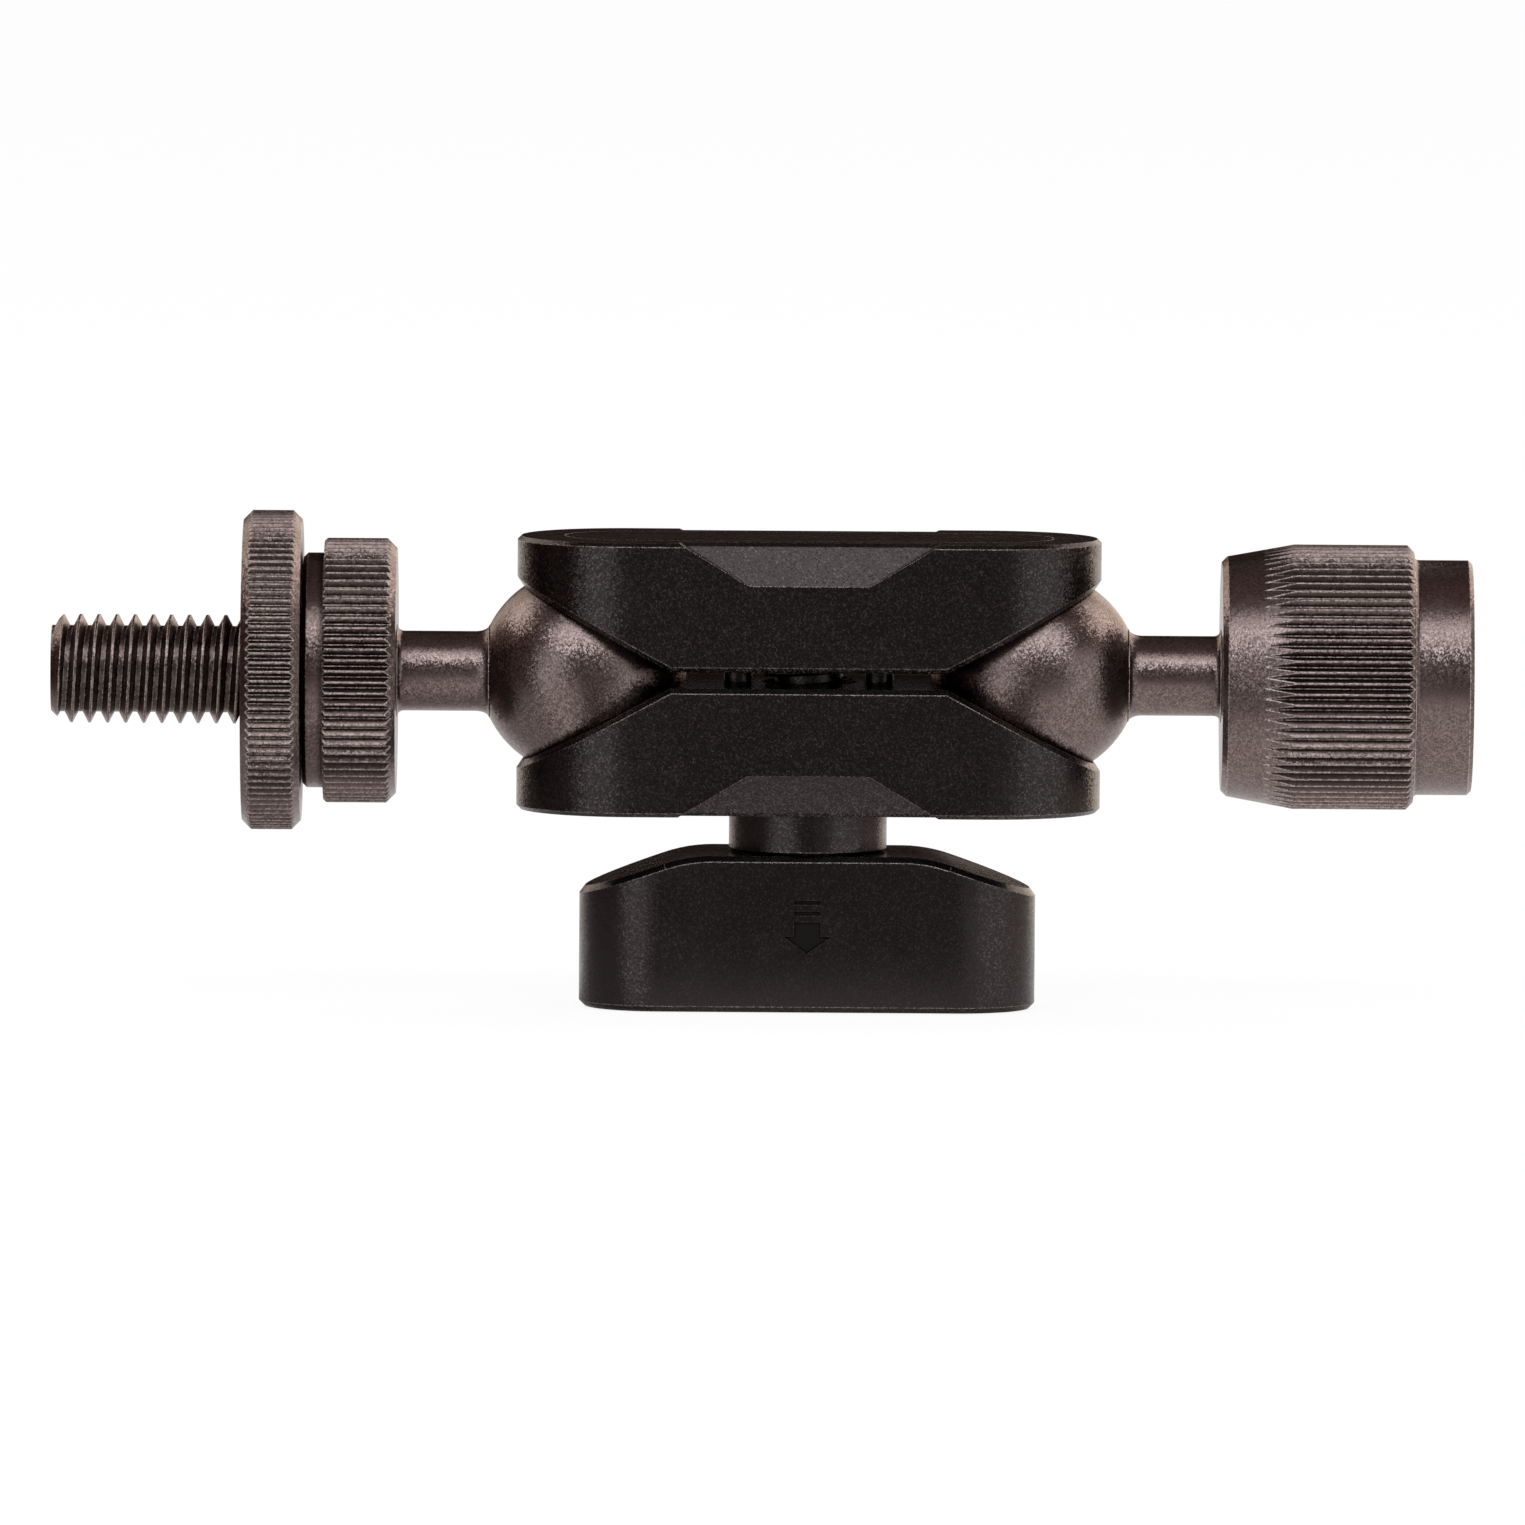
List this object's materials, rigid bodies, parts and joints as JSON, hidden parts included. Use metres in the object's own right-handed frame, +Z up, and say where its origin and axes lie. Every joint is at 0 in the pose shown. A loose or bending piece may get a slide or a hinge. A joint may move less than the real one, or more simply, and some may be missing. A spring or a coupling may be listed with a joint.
{
  "type": "double ball friction arm",
  "caption": "Friction arm with a two-jaw clamp that grips a ball stud at each end: one stud has a male thread with a knurled lock wheel, the other a knurled barrel; a pull-out handle locks both.",
  "frame": {"origin": "middle of the arm's overall length and depth, on the surface that the handle's flat bottom stands on", "axes": "+Z up along the clamp bolt, +X along the arm from the threaded stud towards the knurled barrel"},
  "size_m": [0.1246, 0.028, 0.0433],
  "materials": {
    "black_body": "fine blasted black anodised aluminium",
    "black_steel": "fine blasted blackened steel",
    "bronze_metal": "satin blasted steel with a dark bronze coating",
    "steel": "plain machined steel",
    "brass": "plain brass"
  },
  "bodies": {
    "clamp": {"upper_jaw": "black_body", "top_plate": "black_body", "clamp_bolt": "steel", "guide_pin_left": "steel", "guide_pin_right": "steel", "jaw_spring": "steel"},
    "lower_jaw": {"lower_jaw": "black_body", "thrust_washer": "brass"},
    "clamp_nut": {"clamp_nut": "black_steel", "retaining_screw": "steel", "handle_spring": "steel"},
    "handle": {"handle": "black_body", "spline_insert": "steel"},
    "left_ball": {"left_ball": "bronze_metal"},
    "left_neck": {"left_neck": "bronze_metal"},
    "threaded_hub": {"left_hub": "bronze_metal", "thread_stud": "bronze_metal"},
    "lock_core": {"lock_core": "bronze_metal"},
    "lock_wheel": {"lock_wheel": "bronze_metal"},
    "right_ball": {"right_ball": "bronze_metal"},
    "right_neck": {"right_neck": "bronze_metal"},
    "barrel": {"barrel": "bronze_metal", "nose_socket": "bronze_metal"}
  },
  "joints": [
    {"name": "jaw_open", "type": "slide", "parent": "clamp", "child": "lower_jaw", "axis": [0, 0, -1], "range_m": [0, 0.0006], "deforming": ["jaw_spring"]},
    {"name": "handle_turn", "type": "hinge", "parent": "lower_jaw", "child": "clamp_nut", "pos_m": [0.00416, 0, 0.0155], "axis": [0, 0, -1], "range_deg": [0, 216]},
    {"name": "handle_pull", "type": "slide", "parent": "clamp_nut", "child": "handle", "axis": [0, 0, -1], "range_m": [0, 0.003], "stiffness_N_per_m": 600, "springref_m": -0.003, "deforming": ["handle_spring"]},
    {"name": "left_tilt", "type": "hinge", "parent": "clamp", "child": "left_ball", "pos_m": [-0.01569, 0, 0.0293], "axis": [0, 1, 0], "range_deg": [-28, 28]},
    {"name": "left_swing", "type": "hinge", "parent": "left_ball", "child": "left_neck", "pos_m": [-0.01569, 0, 0.0293], "axis": [0, 0, 1], "range_deg": [-90, 90]},
    {"name": "left_twist", "type": "hinge", "parent": "left_neck", "child": "threaded_hub", "pos_m": [-0.01569, 0, 0.0293], "axis": [-1, 0, 0], "continuous": true},
    {"name": "wheel_advance", "type": "slide", "parent": "threaded_hub", "child": "lock_core", "axis": [-1, 0, 0], "range_m": [0, 0.00953]},
    {"name": "wheel_turn", "type": "hinge", "parent": "lock_core", "child": "lock_wheel", "pos_m": [-0.0425, 0, 0.0293], "axis": [-1, 0, 0], "range_deg": [0, 2160]},
    {"name": "right_tilt", "type": "hinge", "parent": "clamp", "child": "right_ball", "pos_m": [0.02401, 0, 0.0293], "axis": [0, -1, 0], "range_deg": [-28, 28]},
    {"name": "right_swing", "type": "hinge", "parent": "right_ball", "child": "right_neck", "pos_m": [0.02401, 0, 0.0293], "axis": [0, 0, 1], "range_deg": [-90, 90]},
    {"name": "right_twist", "type": "hinge", "parent": "right_neck", "child": "barrel", "pos_m": [0.02401, 0, 0.0293], "axis": [1, 0, 0], "continuous": true}
  ],
  "couplings": [
    {"joint": "handle_turn", "follows": "jaw_open", "rad_per_m": 6283.1},
    {"joint": "wheel_turn", "follows": "wheel_advance", "rad_per_m": 3957.9}
  ]
}
